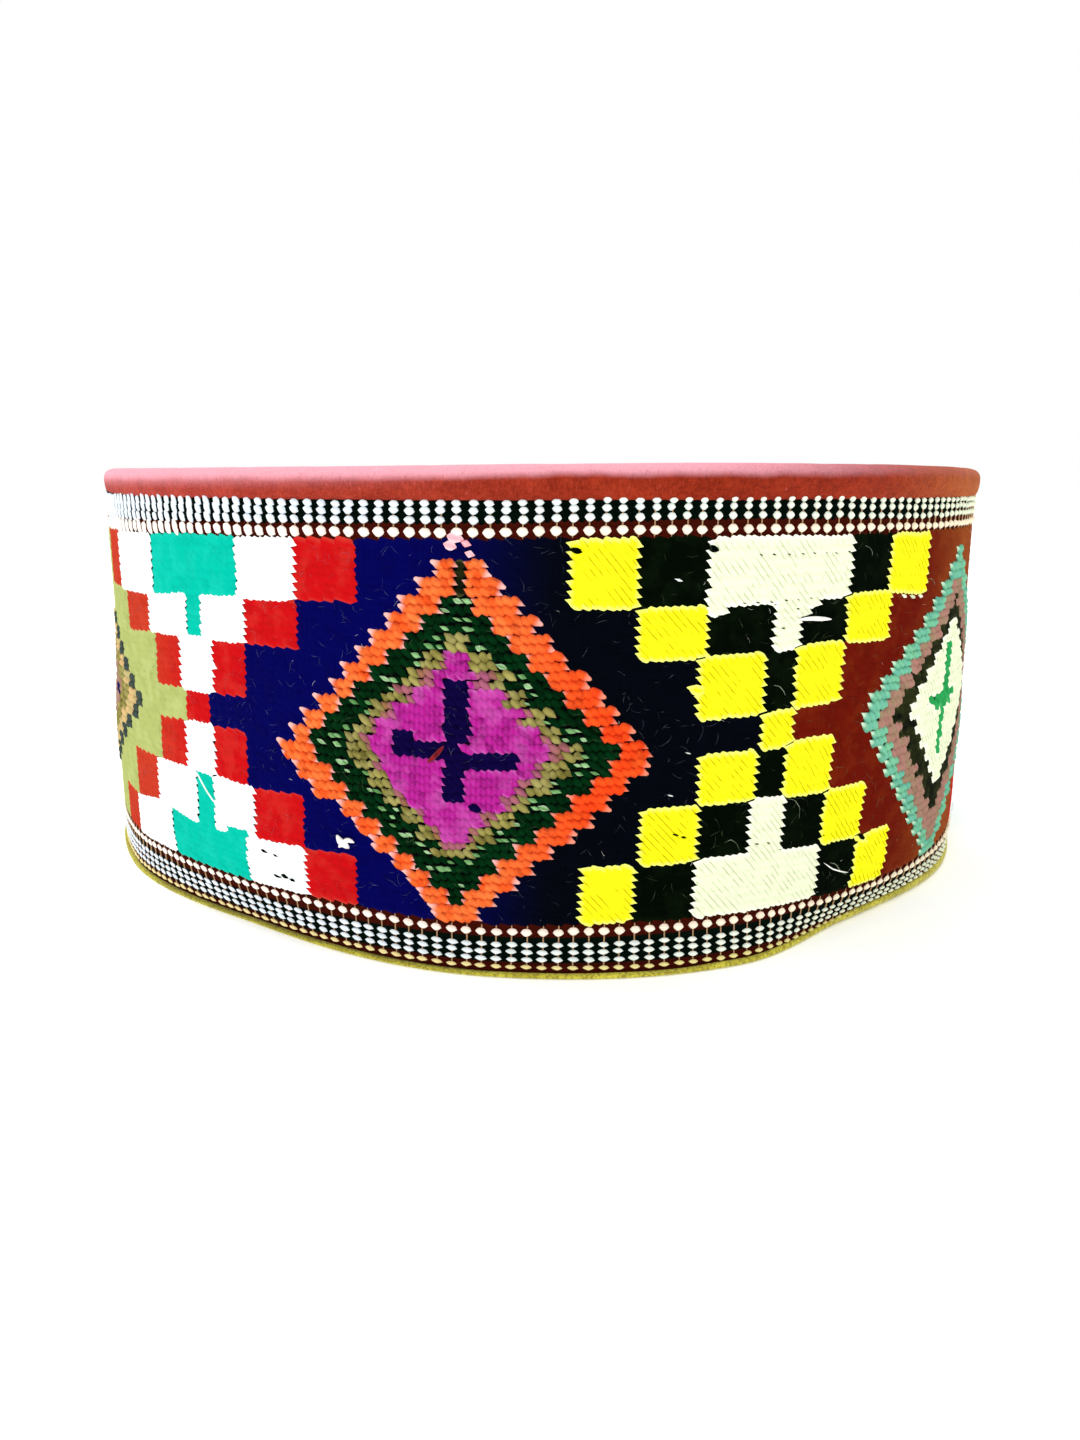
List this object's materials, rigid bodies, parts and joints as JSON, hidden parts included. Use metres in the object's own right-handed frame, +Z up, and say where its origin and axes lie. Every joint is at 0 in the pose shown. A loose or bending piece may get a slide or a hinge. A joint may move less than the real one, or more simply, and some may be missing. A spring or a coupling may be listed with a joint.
{
  "type": "himachali cap",
  "caption": "Oval wool cap with a flat top, a padded roll round the top edge and a woven band with diamonds and stepped blocks.",
  "frame": {"origin": "on the surface that the cap stands on, under the middle of its oval", "axes": "+Z up, -Y to the front, where the middle of the woven band is, +X to the left of a wearer"},
  "size_m": [0.1814, 0.1966, 0.075],
  "materials": {
    "rust_wool": "brushed rust-brown wool cloth with a short nap",
    "woven_band": "hand-woven wool band with check borders and coloured diamonds and blocks",
    "hem_cloth": "plain olive-mustard cotton edge"
  },
  "bodies": {
    "root": {"crown_top": "rust_wool", "top_roll": "rust_wool", "side_wall": "rust_wool", "front_band": "woven_band", "hem": "hem_cloth"}
  },
  "joints": []
}
